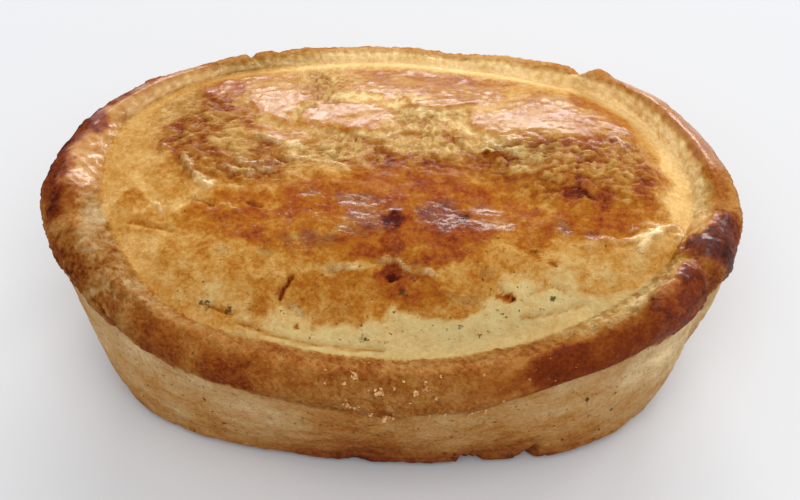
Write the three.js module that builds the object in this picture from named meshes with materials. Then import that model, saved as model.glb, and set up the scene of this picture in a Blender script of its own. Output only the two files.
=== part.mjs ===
// Pasticciotto: an oval shortcrust pastry with a filling, baked under a lid in a flared tin.
// Case, rim and lid bake into one piece. This one is uncut, so it is one closed solid.
//
// Units are millimetres. +Z is up, X runs along the length, the front is at -Y, and the origin is
// the centre of the flat underside. The section, from the middle of the underside round the rim
// to the crown of the lid, is spun by LatheGeometry. Its radius is a share of the way from the
// middle to the lip of the rim, so 1 is the lip. press() then shapes the round blank to its oval
// and gives it the unevenness of dough lined and sealed by hand.

import * as THREE from "three";

// Driving dimensions
const LENGTH = 102; // over the lip of the rim, end to end
const WIDTH = 69.6;
const WALL_TOP = 20.6; // the crease under the rim, at the front
const LIP_HEIGHT = 24.2; // where the rim stands out furthest
const CREST_HEIGHT = 28;
const GROOVE_HEIGHT = 26.2; // where the lid meets the rim
const CROWN_HEIGHT = 32; // middle of the lid
const END_LIFT = 3; // how much higher the rim stands at the two ends

// Shares of the way from the middle to the lip
const BASE_SHARE = 0.72; // edge of the flat that the pastry rests on
const FOOT_SHARE = 0.82; // where the rounded foot turns into the wall
const NECK_SHARE = 0.978; // the crease under the rim
const CREST_SHARE = 0.93;
const GROOVE_SHARE = 0.81;

// Exponents of the oval, a superellipse: 2 is an ellipse, more is squarer
const RIM_SQUARENESS = 2.03;
const FOOT_SQUARENESS = 2.8;

// Unevenness round the pastry, as smooth hills: angle of the top and half width in degrees, and
// height in millimetres. 0 is the right end, 90 the back, 180 the left end and 270 the front.
const LIP_SWELLS = [
  [336, 28, -1.4],
  [40, 30, 0.7],
  [204, 26, -0.7],
];
const FOOT_SWELLS = [
  [202, 26, 1.1],
  [240, 24, -0.7],
  [298, 20, -0.5],
  [325, 28, 0.8],
];
const RIM_LIFTS = [
  [32, 24, 0.7],
  [75, 16, -0.4],
];
const RIM_NOTCHES = [
  [44, 4, -1.4],
  [127, 4, -1],
];
// The crease under the rim runs higher at the front, on both sides of the middle
const NECK_LIFTS = [
  [310, 24, 2.4],
  [248, 26, 0.8],
];
const NECK_REACH = 5.5; // how far above and below the crease that is felt
const GROOVE_DIPS = [
  [20, 50, -1.2],
  [90, 75, 1],
  [250, 60, 0.5],
];
// The lid spreads over the rim but for the front. These heights are shares, added to
// GROOVE_SHARE.
const GROOVE_SHIFTS = [
  [26, 40, 0.06],
  [90, 90, 0.065],
  [152, 42, 0.065],
  [218, 28, 0.05],
  [345, 40, 0.04],
];
// Lobes and dips of the lid: x, y, half width and height in millimetres
const LID_LOBES = [
  [-30, 10, 14, 0.9],
  [-2, -8, 18, 0.6],
  [27, 7, 14, 0.9],
  [17, -2, 8, -0.8],
  [-30, -8, 12, -0.5],
];

// A smooth hill of height 1 that ends one half width from its top.
const bump = (away) => (away < 1 ? (1 + Math.cos(Math.PI * away)) / 2 : 0);

// Height at an angle of a list of hills round the pastry.
function around(angle, hills) {
  return hills.reduce((sum, [top, halfWidth, height]) => {
    const turn = Math.abs(angle - top);
    return sum + height * bump(Math.min(turn, 360 - turn) / halfWidth);
  }, 0);
}

// Height at a place on the lid of a list of lobes.
function over(x, y, lobes) {
  return lobes.reduce((sum, [topX, topY, halfWidth, height]) => {
    const away = Math.hypot(x - topX, y - topY);
    return sum + height * bump(away / halfWidth);
  }, 0);
}

// The section, from the middle of the underside to the crown of the lid.
function section() {
  const at = (share, height) => new THREE.Vector2(share, height);
  const FOOT_HEIGHT = 3.2;
  const underside = new THREE.LineCurve(at(0, 0), at(BASE_SHARE, 0));
  const foot = new THREE.QuadraticBezierCurve(
    at(BASE_SHARE, 0),
    at(FOOT_SHARE - 0.015, 0),
    at(FOOT_SHARE, FOOT_HEIGHT),
  );
  const wall = new THREE.CubicBezierCurve(
    at(FOOT_SHARE, FOOT_HEIGHT),
    at(FOOT_SHARE + 0.06, 9),
    at(NECK_SHARE - 0.03, 14),
    at(NECK_SHARE, WALL_TOP),
  );
  const rim = new THREE.SplineCurve([
    at(NECK_SHARE, WALL_TOP),
    at(0.993, WALL_TOP + 1.2),
    at(1, LIP_HEIGHT),
    at(0.98, LIP_HEIGHT + 2.4),
    at(CREST_SHARE, CREST_HEIGHT),
    at(0.87, CREST_HEIGHT - 0.6),
    at(GROOVE_SHARE, GROOVE_HEIGHT),
  ]);
  const LID_STEPS = 14;
  const lid = [];
  for (let step = LID_STEPS - 1; step >= 0; step--) {
    const way = step / LID_STEPS;
    const rise = (CROWN_HEIGHT - GROOVE_HEIGHT) * (1 - Math.pow(way, 2.6));
    lid.push(at(GROOVE_SHARE * way, GROOVE_HEIGHT + rise));
  }
  return [
    ...underside.getPoints(4).slice(0, -1),
    ...foot.getPoints(4).slice(0, -1),
    ...wall.getPoints(8).slice(0, -1),
    ...rim.getPoints(14),
    ...lid,
  ];
}

// Distance from the middle to the lip in a direction.
function reach(direction, squareness) {
  const alongX = Math.abs(Math.cos(direction)) / (LENGTH / 2);
  const alongY = Math.abs(Math.sin(direction)) / (WIDTH / 2);
  return Math.pow(alongX ** squareness + alongY ** squareness, -1 / squareness);
}

// Moves a point of the round blank to its place on the pastry.
function press(point) {
  const { lerp, radToDeg, smoothstep } = THREE.MathUtils;
  const share = Math.hypot(point.x, point.y);
  // A spoke of the blank turns towards the long axis, which spaces spokes evenly round the oval
  const direction = Math.atan2(point.y * WIDTH, point.x * LENGTH);
  const angle = (radToDeg(direction) + 360) % 360;
  const up = smoothstep(point.z, 0, WALL_TOP); // 0 at the foot, 1 from the rim up
  // The groove's shift fades to nothing at the middle of the lid and at the crest of the rim
  const beyond = (CREST_SHARE - share) / (CREST_SHARE - GROOVE_SHARE);
  const onTop = smoothstep(point.z, WALL_TOP, GROOVE_HEIGHT);
  const fade = Math.max(0, Math.min(share / GROOVE_SHARE, beyond)) * onTop;
  const spread = share + around(angle, GROOVE_SHIFTS) * fade;
  const swell = lerp(around(angle, FOOT_SWELLS), around(angle, LIP_SWELLS), up);
  const distance = spread * (reach(direction, lerp(FOOT_SQUARENESS, RIM_SQUARENESS, up)) + swell);
  const x = distance * Math.cos(direction);
  const y = distance * Math.sin(direction);
  const sweep = END_LIFT * Math.cos(direction) ** 2 + around(angle, RIM_LIFTS);
  const lift =
    sweep * smoothstep(share, 0.2, GROOVE_SHARE) +
    around(angle, RIM_NOTCHES) * smoothstep(share, GROOVE_SHARE, CREST_SHARE) +
    around(angle, NECK_LIFTS) * bump(Math.abs(point.z - WALL_TOP) / NECK_REACH) +
    around(angle, GROOVE_DIPS) * bump(Math.abs(share - GROOVE_SHARE) / 0.12) +
    over(x, y, LID_LOBES) * (1 - smoothstep(share, 0.6, GROOVE_SHARE));
  return point.set(x, y, point.z + lift * up);
}

function pastryGeometry() {
  const AROUND = 104;
  const geometry = new THREE.LatheGeometry(section(), AROUND);
  geometry.rotateX(Math.PI / 2);
  const position = geometry.getAttribute("position");
  const point = new THREE.Vector3();
  for (let i = 0; i < position.count; i++) {
    press(point.fromBufferAttribute(position, i));
    position.setXYZ(i, point.x, point.y, point.z);
  }
  // The swells shift the outline a little, and this puts the origin back under its middle
  geometry.computeBoundingBox();
  const middle = geometry.boundingBox.getCenter(point);
  geometry.translate(-middle.x, -middle.y, 0);
  geometry.computeVertexNormals();
  return geometry;
}

const crust = new THREE.MeshStandardMaterial({ color: 0xc98a3c, roughness: 0.55, metalness: 0 });

const pastry = new THREE.Mesh(pastryGeometry(), crust);
pastry.name = "pastry";

const pasticciotto = new THREE.Group();
pasticciotto.add(pastry);

export default pasticciotto;
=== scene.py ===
"""Pasticciotto: an oval shortcrust pastry with a soft filling, baked under a lid in a flared tin.

It is whole and uncut, and stands on its foot. Shapes are worked out in millimetres, with +Z up and
the front at -Y, and turned into metres when a mesh is made.
"""

import math

import bmesh
import bpy
import numpy as np
from mathutils import Matrix, Vector, noise


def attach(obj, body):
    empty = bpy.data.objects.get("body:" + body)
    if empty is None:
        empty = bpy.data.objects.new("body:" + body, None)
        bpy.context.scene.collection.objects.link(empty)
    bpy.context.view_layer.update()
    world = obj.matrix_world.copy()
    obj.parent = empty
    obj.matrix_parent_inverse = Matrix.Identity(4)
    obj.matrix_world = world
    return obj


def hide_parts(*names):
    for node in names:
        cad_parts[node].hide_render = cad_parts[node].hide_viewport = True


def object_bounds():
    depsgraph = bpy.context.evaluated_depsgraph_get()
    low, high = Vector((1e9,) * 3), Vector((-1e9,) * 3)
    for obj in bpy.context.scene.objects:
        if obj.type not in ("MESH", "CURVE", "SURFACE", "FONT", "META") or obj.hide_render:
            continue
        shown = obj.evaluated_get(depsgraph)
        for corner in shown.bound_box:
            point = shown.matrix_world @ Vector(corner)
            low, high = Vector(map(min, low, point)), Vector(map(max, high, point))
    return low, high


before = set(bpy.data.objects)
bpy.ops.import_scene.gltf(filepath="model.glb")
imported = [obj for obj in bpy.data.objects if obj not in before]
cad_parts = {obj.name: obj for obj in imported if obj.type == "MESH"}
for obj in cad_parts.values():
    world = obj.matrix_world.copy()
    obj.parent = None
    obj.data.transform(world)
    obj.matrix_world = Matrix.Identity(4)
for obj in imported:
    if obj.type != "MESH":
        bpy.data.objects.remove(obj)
CAD_BOX = [list(corner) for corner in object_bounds()]
MM = 0.001


# -------------------------------------------------------------------------------------------------
# The shaped dough. A sheet of shortcrust lines the tin, the filling goes in, and a second sheet
# closes it. The two edges are pressed together into a rolled rim, so it all bakes into one piece.
# -------------------------------------------------------------------------------------------------
LENGTH = 102.0  # over the lip of the rim
WIDTH = 69.6
FOOT_HEIGHT = 3.2
WALL_TOP = 20.6  # the crease under the rim
LIP_HEIGHT = 24.2  # where the rim stands out furthest
CREST_HEIGHT = 28.0
GROOVE_HEIGHT = 26.2  # where the lid meets the rim
CROWN_HEIGHT = 32.0
LID_FLATNESS = 2.6  # exponent of the lid's fall from its crown: more is flatter on top
# Places along the section, as shares of the way from the middle to the lip
BASE_SHARE, FOOT_SHARE, NECK_SHARE, CREST_SHARE, GROOVE_SHARE = 0.72, 0.82, 0.978, 0.93, 0.81
FAN_SHARE = 0.06  # the middle of the underside, which a fan of triangles closes
RIM_SQUARENESS, FOOT_SQUARENESS = 2.03, 2.8  # exponents of the oval, where 2 is an ellipse
END_LIFT = 3.0  # the rim stands this much higher at the two ends
SWEEP_START = 0.2  # share of the way out where the top starts to rise to them
# Swells round the pastry: angle of the top and half width in degrees, height in millimetres.
# 0 is the right end, 90 the back, 180 the left end and 270 the front.
LIP_SWELLS = [(336, 28, -1.4), (40, 30, 0.7), (204, 26, -0.7)]
FOOT_SWELLS = [(202, 26, 1.1), (240, 24, -0.7), (298, 20, -0.5), (325, 28, 0.8)]
RIM_LIFTS = [(32, 24, 0.7), (75, 16, -0.4)]
# The crease under the rim runs higher at the front, on both sides of the middle
NECK_LIFTS = [(310, 24, 2.4), (248, 26, 0.8)]
NECK_REACH = 5.5  # how far above and below the crease that is felt
GROOVE_DIPS = [(20, 50, -1.2), (90, 75, 1), (250, 60, 0.5)]
GROOVE_REACH = 0.12  # how far inwards and outwards they are felt, as a share
# The lid spreads over the rim but for the front. These heights are shares, added to
# GROOVE_SHARE.
GROOVE_SHIFTS = [
    (26, 40, 0.06), (90, 90, 0.065), (152, 42, 0.065), (218, 28, 0.05), (345, 40, 0.04),
]
# Lobes of the lid: x, y, half width and height in millimetres
LID_LOBES = [
    (-30, 10, 14, 0.9), (-2, -8, 18, 0.6), (27, 7, 14, 0.9), (17, -2, 8, -0.8), (-30, -8, 12, -0.5),
]
LOBES_FADE = 0.6  # share of the way out where they start to fade to nothing at the groove

# The mesh: a square grid bent into an oval for the lid, then rings round the rim, wall and foot
LID_CELLS = 180
RIM_ROWS, WALL_ROWS, FOOT_ROWS, BASE_ROWS = 40, 26, 8, 6


def smoothstep(low, high, value):
    way = np.clip((value - low) / (high - low), 0, 1)
    return way * way * (3 - 2 * way)


def mix(old, new, amount):
    return old + (new - old) * amount


def bump(away):
    """A smooth hill of height 1 that ends where away is 1."""
    return (1 + np.cos(np.pi * np.minimum(np.abs(away), 1))) / 2


def around(hills):
    """Height of a list of hills round the pastry, at each point's angle."""
    total = 0
    for top, half_width, rise in hills:
        turn = np.abs((angle - top + 180) % 360 - 180)
        total = total + rise * bump(turn / half_width)
    return total


def through(points, count):
    """A smooth curve through points, as count places evenly apart, without the first one."""
    ends = np.array([2 * points[0] - points[1], *points, 2 * points[-1] - points[-2]])
    # Finely sampled, to just short of the last point
    way = np.linspace(0, len(points) - 1.0001, 400)
    leg, t = way.astype(int), (way % 1)[:, None]
    before, start, stop, after = (ends[leg + step] for step in range(4))
    bend = 2 * before - 5 * start + 4 * stop - after + t * (3 * (start - stop) + after - before)
    curve = start + t / 2 * (stop - before + t * bend)
    legs = np.hypot(*(np.diff(curve, axis=0) * (LENGTH / 2, 1)).T)
    length = np.concatenate([[0], np.cumsum(legs)])
    stops = np.linspace(0, length[-1], count + 1)[1:]
    return np.stack([np.interp(stops, length, curve[:, axis]) for axis in range(2)], 1)


def bezier(*points, count=12):
    """Places on the Bezier curve with these control points."""
    t = np.linspace(0, 1, count)[:, None]
    while len(points) > 1:
        points = [mix(np.array(start), np.array(stop), t) for start, stop in zip(points, points[1:])]
    return points[0]


# The section, from the groove over the rim and down to the middle of the underside
rim = np.array([
    (GROOVE_SHARE, GROOVE_HEIGHT), (0.87, CREST_HEIGHT - 0.6), (CREST_SHARE, CREST_HEIGHT),
    (0.98, LIP_HEIGHT + 2.4), (1.0, LIP_HEIGHT), (0.993, WALL_TOP + 1.2), (NECK_SHARE, WALL_TOP),
])
wall = bezier(
    (NECK_SHARE, WALL_TOP), (NECK_SHARE - 0.03, 14), (FOOT_SHARE + 0.06, 9), (FOOT_SHARE, FOOT_HEIGHT),
)
foot = bezier((FOOT_SHARE, FOOT_HEIGHT), (FOOT_SHARE - 0.015, 0), (BASE_SHARE, 0))
underside = np.array([(BASE_SHARE, 0), (BASE_SHARE / 2, 0), (FAN_SHARE, 0)])
rows = np.concatenate([
    through(rim, RIM_ROWS), through(wall, WALL_ROWS),
    through(foot, FOOT_ROWS), through(underside, BASE_ROWS),
])

# The square grid of the lid, bent into a disc
across, up = np.meshgrid(*[np.linspace(-1, 1, LID_CELLS + 1)] * 2)
wide = np.abs(across) > np.abs(up)
reach = np.where(wide, across, up)
lean = np.where(wide, up, across) / np.where(reach == 0, 1, reach) * math.pi / 4
disc_angle = np.where(wide, lean, math.pi / 2 - lean)
disc_x, disc_y = reach * np.cos(disc_angle), reach * np.sin(disc_angle)
grid = np.arange(disc_x.size).reshape(disc_x.shape)
edge = np.concatenate([grid[0, :-1], grid[:-1, -1], grid[-1, :0:-1], grid[:0:-1, 0]])

lid_way = np.abs(reach).ravel()
lid_height = CROWN_HEIGHT - (CROWN_HEIGHT - GROOVE_HEIGHT) * lid_way ** LID_FLATNESS
share = np.concatenate([lid_way * GROOVE_SHARE, np.repeat(rows[:, 0], len(edge)), [0]])
height = np.concatenate([lid_height, np.repeat(rows[:, 1], len(edge)), [0]])
# How far along the section: 0 to 1 on the lid, to 2 on the rim, 3 on the wall, 4 on the foot and
# 5 at the middle of the underside
row_ways = [
    zone + 2 - np.arange(count)[::-1] / count
    for zone, count in enumerate((RIM_ROWS, WALL_ROWS, FOOT_ROWS, BASE_ROWS))
]
along = np.concatenate([lid_way, np.repeat(np.concatenate(row_ways), len(edge)), [5]])

# A spoke of the round blank turns towards the long axis, which spaces the spokes evenly
blank_x = np.concatenate([disc_x.ravel(), np.tile(disc_x.ravel()[edge], len(rows)), [0]])
blank_y = np.concatenate([disc_y.ravel(), np.tile(disc_y.ravel()[edge], len(rows)), [0]])
direction = np.arctan2(blank_y * WIDTH, blank_x * LENGTH)
angle = np.degrees(direction) % 360

# Pressed to the oval, with the unevenness of dough lined by hand
risen = smoothstep(0, WALL_TOP, height)
squareness = mix(FOOT_SQUARENESS, RIM_SQUARENESS, risen)
along_x = np.abs(np.cos(direction) * 2 / LENGTH) ** squareness
along_y = np.abs(np.sin(direction) * 2 / WIDTH) ** squareness
to_lip = (along_x + along_y) ** (-1 / squareness)
to_lip += mix(around(FOOT_SWELLS), around(LIP_SWELLS), risen)
beyond = (CREST_SHARE - share) / (CREST_SHARE - GROOVE_SHARE)
fade = np.maximum(0, np.minimum(share / GROOVE_SHARE, beyond))
fade *= smoothstep(WALL_TOP, GROOVE_HEIGHT, height)
distance = to_lip * (share + around(GROOVE_SHIFTS) * fade)
x, y = distance * np.cos(direction), distance * np.sin(direction)
lift = END_LIFT * np.cos(direction) ** 2 + around(RIM_LIFTS)
lift *= smoothstep(SWEEP_START, GROOVE_SHARE, share)
lift += around(NECK_LIFTS) * bump((height - WALL_TOP) / NECK_REACH)
lift += around(GROOVE_DIPS) * bump((share - GROOVE_SHARE) / GROOVE_REACH)
for lobe_x, lobe_y, half_width, rise in LID_LOBES:
    lobe = rise * bump(np.hypot(x - lobe_x, y - lobe_y) / half_width)
    lift += lobe * (1 - smoothstep(LOBES_FADE, GROOVE_SHARE, share))
place = np.stack([x, y, height + lift * risen], 1)

# Faces: four-cornered all over, with one fan of triangles in the middle of the underside
cell_corners = [grid[:-1, :-1], grid[:-1, 1:], grid[1:, 1:], grid[1:, :-1]]
quads = [np.stack([corner.ravel() for corner in cell_corners], 1)]
inner = edge
for row in range(len(rows)):
    outer = grid.size + row * len(edge) + np.arange(len(edge))
    quads.append(np.stack([inner, outer, np.roll(outer, -1), np.roll(inner, -1)], 1))
    inner = outer
quads = np.concatenate(quads)
fan = np.stack([inner, np.full(len(edge), len(place) - 1), np.roll(inner, -1)], 1)


# -------------------------------------------------------------------------------------------------
# The lid. The top sheet was brushed with egg, so it baked to smooth, shiny plates where the film
# held. It tore where the filling rose under it, and wrinkled as it cooled.
# -------------------------------------------------------------------------------------------------
SEED_STEP = 17.3  # each seed looks at a part of the noise this far from the last


def mottle(size, seed, octaves=3, stretch=(1, 1, 1)):
    """Soft noise about 0, to about 1 either way, in lumps about size millimetres across."""
    spots = place / (np.array(stretch) * size) + seed * SEED_STEP
    return np.array([noise.fractal(spot, 0.9, 2.0, octaves) for spot in spots.tolist()])


def ridges(size, seed, octaves=3, stretch=(1, 1, 1)):
    """Sharp crests between rounded hollows: 1 on a crest, down to about 0 between."""
    return 1 - np.abs(mottle(size, seed, octaves, stretch)) * 2


def scales(size, seed, warp):
    """Flakes about size millimetres across, with edges that wander by warp sizes: the height of
    each from -1 to 1, and how far a point is from the crack round its flake, from 0 to 1."""
    wander = np.stack([mottle(size, seed + axis, 2) for axis in range(3)], 1) * warp * size
    spots = (place + wander) / size + seed * SEED_STEP
    tall, inside = np.empty(len(spots)), np.empty(len(spots))
    for count, spot in enumerate(spots.tolist()):
        (first, second, *_), (nearest, *_) = noise.voronoi(spot)
        tall[count], inside[count] = noise.cell(nearest), second - first
    return tall, smoothstep(0, 0.35, inside)


def flaking(flakes, step, crack):
    """Flakes that stand up to step above or below their place, with cracks this deep between."""
    tall, inside = flakes
    return step * tall + crack * (inside - 1)


# Where each point seems to be when patches are laid, so that their edges are ragged
ragged_x = x + 1.5 * mottle(4.5, 1) + 0.5 * mottle(1.3, 2)
ragged_y = y + 1.2 * mottle(4.5, 3) + 0.4 * mottle(1.3, 4)


def patch(at_x, at_y, half_x, half_y, turn=0, soft=0.25):
    """1 inside an oval on the lid or rim, in millimetres and degrees, to 0 outside."""
    c, s = math.cos(math.radians(turn)), math.sin(math.radians(turn))
    dx, dy = ragged_x - at_x, ragged_y - at_y
    away = np.hypot((dx * c + dy * s) / half_x, (dy * c - dx * s) / half_y)
    return 1 - smoothstep(1 - soft, 1 + soft, away)


def patches(ovals, soft=0.25):
    """1 inside any of these ovals."""
    return np.max([patch(*oval, soft=soft) for oval in ovals], axis=0)


def line(points, half_width, wander):
    """1 on a line through these places, falling to 0 at its half width."""
    at = np.stack([mix(x, ragged_x, wander), mix(y, ragged_y, wander)], 1)
    nearest = np.full(len(x), 99.0)
    for start, stop in zip(np.array(points[:-1], float), np.array(points[1:], float)):
        leg = stop - start
        t = np.clip((at - start) @ leg / (leg @ leg), 0, 1)
        nearest = np.minimum(nearest, np.linalg.norm(at - start - t[:, None] * leg, axis=1))
    return bump(nearest / half_width)


def pit(at_x, at_y, half_width, wander):
    """1 at a place on the lid, falling to 0 at its half width."""
    dx, dy = mix(x, ragged_x, wander) - at_x, mix(y, ragged_y, wander) - at_y
    return bump(np.hypot(dx, dy) / half_width)


# Ovals on the lid: x, y, half width, half depth, and turn where they are turned.
# Smooth plates at the back, where the film of egg is whole
PLATES = [
    (-19, 19, 5.4, 7.5, 8), (-7.5, 14, 7.4, 3.8, -6), (4, 23.5, 12.5, 4.2, -3), (10, 20.8, 6, 3.2),
    (4.5, 18, 3.4, 1.8), (16.5, 12.8, 6.5, 4, -10), (23.5, 15.5, 7, 5, -25), (-2, 21.5, 4.5, 2.4),
    (-27, 21, 3.4, 2.8, 30), (33, 13.5, 2, 2.4, 60), (-15.5, 9, 3.6, 1.2, -8), (26, 9.4, 1.6, 1.2),
    (29.4, 9, 1.2, 1.2), (33, 10.6, 1.8, 1.2), (27, 6, 1, 0.8), (-11, 11.6, 2.5, 1.6),
]
# Patches of open crumb, and patches where the top is scaly, folded or lumpy
TORN = [(4.5, 13.6, 5, 2.6), (-6, 19.2, 3, 1.4), (1, 19.5, 2, 1.6)]
SCALY = [(27, 4, 11, 6.5, -8), (17, 6, 6, 4), (33, 8, 4, 4)]
FOLDED = [
    (-29, 13, 7, 9), (-22, 4, 10, 5), (-6, 7, 9, 4), (5, 8, 9, 4.5), (18, 8.5, 6, 3.5),
    (-12, 20, 4, 7), (4, 15, 6, 3),
]
LUMPY = [(-36, -5, 8, 7), (-28, -3, 8, 5), (-18, 0, 7, 5), (22, -5, 7, 5)]
# Tears that show the yellow crumb between the plates, as places along each
TEARS = [
    [(-9.5, 30), (-9.5, 25), (-10.5, 20), (-12.5, 17), (-14.5, 14.5), (-15.5, 11.5)],
    [(-9, 19), (-4, 18.6), (0, 18.4), (1.6, 15.5)], [(2, 16.4), (7, 16.6), (11.5, 17)],
    [(9.5, 16.6), (9, 14), (10.5, 11.6), (15, 9.5)],
    [(-23.5, 19.5), (-22.6, 16), (-20.5, 12.6), (-16, 10.8), (-11, 10.4), (-4, 10.2), (1, 11)],
]
# Folds that stand up and catch the light: places, half width and height in millimetres
FOLDS = [
    ([(-30.3, 3.8), (-28.7, 2), (-27.6, -0.6), (-25.4, -1.8)], 0.9, 0.65),
    ([(-24.2, 2), (-22, 1.6), (-20, 0.8)], 0.8, 0.55),
    ([(-22.8, 3.8), (-20, 3), (-17.2, 2.2)], 0.8, 0.6), ([(-18.4, 3.6), (-15, 3.2)], 0.6, 0.5),
    ([(-14.2, 5), (-11.8, 4.4)], 0.6, 0.45), ([(-34, 7), (-33.2, 5.8)], 0.7, 0.5),
    ([(-34.6, -3.4), (-32.8, -5)], 0.8, 0.5), ([(-20.5, 8.8), (-17, 7.6), (-13, 7)], 0.9, 0.6),
    ([(-9, 3.4), (-5.8, 1.8)], 0.8, 0.45), ([(-24, -5.4), (-21.6, -6.6)], 0.6, 0.3),
    ([(-9.5, -15.4), (-4, -16)], 0.6, 0.3), ([(-1, -14.4), (6.8, -15.4)], 0.7, 0.35),
    ([(13, 9), (15, 8)], 0.7, 0.3), ([(16.4, 4), (19, 4.4)], 0.6, 0.3),
    ([(23.6, 1), (24.8, 0.3)], 0.5, 0.3),
    # those that run on to the right end of the rim
    ([(28, -9.8), (31, -9), (34, -8.4), (36, -7.6)], 1.0, 0.35),
    ([(34.5, -6), (36.6, -5), (39, -4)], 0.7, 0.35),
    ([(36.6, -9.8), (37.4, -7), (38.8, -5), (40.2, -4.4), (41.2, -5.4), (41.2, -7)], 1.1, 0.7),
    ([(36, -2.6), (38, -1.6), (39.6, -1.8)], 0.6, 0.2), ([(38.4, 0.6), (40, 0.2)], 0.6, 0.2),
]
# Low dents in the glaze, where the sugar caught
DENTS = [
    (7.4, -6, 3.2, 2.4), (12.8, -7.2, 4, 1.1, -5), (13, -4, 2, 0.9), (-3.4, -7.4, 3.4, 1.8, -15),
    (0.5, -5.6, 2, 0.8), (-11.6, -11.2, 4, 1.2, -8), (-6, -10, 3, 0.7, -5),
    (-17.2, -13.6, 1.1, 0.6), (3, -14.8, 4.4, 0.8, -5), (-6, -15.8, 3, 0.6),
    (-0.2, -12.4, 0.6, 0.6), (14, -15, 1.3, 0.8), (10.6, -19.4, 3, 0.8, -15), (-5, -3.4, 3, 1.6),
    (-11.4, -2.6, 0.7, 0.7), (-13.2, -22.4, 1, 0.6), (-23, -13.4, 1.2, 0.4), (28, -8.4, 0.8, 0.6),
    (24, -8, 1, 1.6),
]
# The seam along the left, the slit, and cracks: places, half width and depth in millimetres
CRACKS = [
    ([(-28.7, -3.6), (-27, -4), (-25.4, -5)], 0.5, 0.35),
    ([(-20.6, -4.4), (-19.5, -4.9), (-18.4, -5.2)], 0.5, 0.4),
    ([(-14.8, -20.8), (-14.4, -19.6), (-13.2, -17.4)], 0.55, 1.0),
    ([(-37, -7.6), (-34, -8.6), (-31, -9.4)], 0.8, 0.35),
    ([(-20, -24.4), (-17.5, -25.2), (-13, -26.3), (-9, -26.8), (-4, -27.3), (0, -27.5)], 0.4, 0.45),
    ([(-24.9, -21.6), (-23.6, -22.4), (-21, -23.2)], 0.4, 0.35),
    ([(20, -18.6), (23, -17.2), (24.8, -17.6)], 0.4, 0.25),
    ([(19, -22), (24, -20.8), (28, -19)], 0.5, 0.3), ([(15.6, -17.6), (17.2, -19.8)], 0.4, 0.3),
]
# The pin hole and the pits: x, y, half width and depth
PITS = [
    (10.1, -5.1, 0.6, 1.3), (0.3, -7.6, 1.6, 0.5), (0.9, -17.3, 0.9, 0.8), (16.2, -19.6, 1.2, 0.15),
    (17.2, -19.9, 0.4, 0.4), (-24.5, -22, 0.7, 0.3), (-10, -24.7, 0.4, 0.4),
    (-12.6, -24.4, 0.5, 0.3), (-3, -26.3, 0.8, 0.3), (5.4, -27, 0.7, 0.4), (9.2, -26.9, 0.6, 0.4),
    (9.4, -24, 0.7, 0.3), (24.7, -17.9, 0.4, 0.4), (23.2, -13.5, 0.6, 0.3),
]

on_lid = 1 - smoothstep(0.92, 1.0, along)
plate_flakes = scales(2.6, 9, 0.9)
plates = patches(PLATES, 0.3) * on_lid * mix(0.8, 1, plate_flakes[1])
plates *= smoothstep(-1.3, -0.5, mottle(2.4, 15))
tears = np.max([line(tear, 1.3, 1.2) for tear in TEARS], axis=0) * on_lid
tears *= smoothstep(-0.7, 0.1, mottle(2, 17, 2))
torn = np.clip(tears + patches(TORN, 0.5) * smoothstep(-0.2, 0.2, mottle(1.4, 5)), 0, 1) * on_lid
plates *= 1 - torn
scaly = patches(SCALY, 0.4) * on_lid
folded = patches(FOLDED, 0.5) * on_lid
lumpy = patches(LUMPY, 0.5) * on_lid
dents = patches(DENTS, 0.35) * on_lid

# The relief is in millimetres: heights times patterns. The dough swells in lumps from 9 mm across
# down to 0.9, less at the front, which stayed soft and flat, and less under the film of egg.
baked_hard = smoothstep(-20, 2, y)
relief = 0.24 * mottle(9, 6) * on_lid * (1 - 0.4 * plates)
relief += mix(0.08, 0.14, baked_hard) * mottle(3.0, 7) * on_lid * (1 - 0.85 * plates)
relief += mix(0.05, 0.10, baked_hard) * mottle(0.9, 8, 2) * on_lid * (1 - 0.95 * plates)
relief += 0.22 * mottle(2.2, 13, 2) * lumpy
# Plates stand a little proud, and tears lie low with a rough floor
relief += 0.22 * plates - 0.25 * tears + 0.30 * mottle(1.0, 10, 2) * torn
relief += flaking(plate_flakes, 0.03, 0.05) * plates
# Scales and fine folds
scale_flakes = scales(2.6, 12, 0.9)
relief += flaking(scale_flakes, 0.26, 0.30) * scaly
fine_folds = ridges(1.3, 11, 2, (0.8, 1.2, 1)) - 0.5
fold_flakes = scales(2.0, 50, 0.9)
bare_folds = folded * (1 - 0.8 * plates)
relief += (0.13 * fine_folds + flaking(fold_flakes, 0.26, 0.26)) * bare_folds
standing = np.max([rise * line(fold, half_width, 0.9) for fold, half_width, rise in FOLDS], axis=0)
standing *= smoothstep(-0.9, 0.3, mottle(2.6, 16, 2))
relief += standing
# Dents, cracks and pits
relief -= (0.1 + 0.12 * mottle(0.9, 14, 2)) * dents
for crack, half_width, depth in CRACKS:
    relief -= depth * line(crack, half_width, 0.2)
for *spot, depth in PITS:
    relief -= depth * pit(*spot, 0.4)


# -------------------------------------------------------------------------------------------------
# The rim. Both sheets of dough, rolled together by hand: lumpy, dry and crumbly, with a broken
# inner edge and a ragged lip where the spare dough was cut away over the edge of the tin.
# -------------------------------------------------------------------------------------------------
# Nicks across the rim, and lumps on it, as hills round the pastry
NICKS = [(45.5, 2.6, -1.3), (41, 3, 0.9), (127.5, 1.6, -0.9), (124, 2, 0.3)]
LUMPS = [
    (329, 3, -0.3), (188, 2.2, -0.6), (193, 3, 0.5), (181, 4, 0.3), (214, 5, 0.3), (205, 3, -0.3),
    (231, 5, 0.2), (264, 4, 0.2), (278, 4, 0.25), (299, 5, 0.3), (28, 6, 0.3),
]
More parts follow.
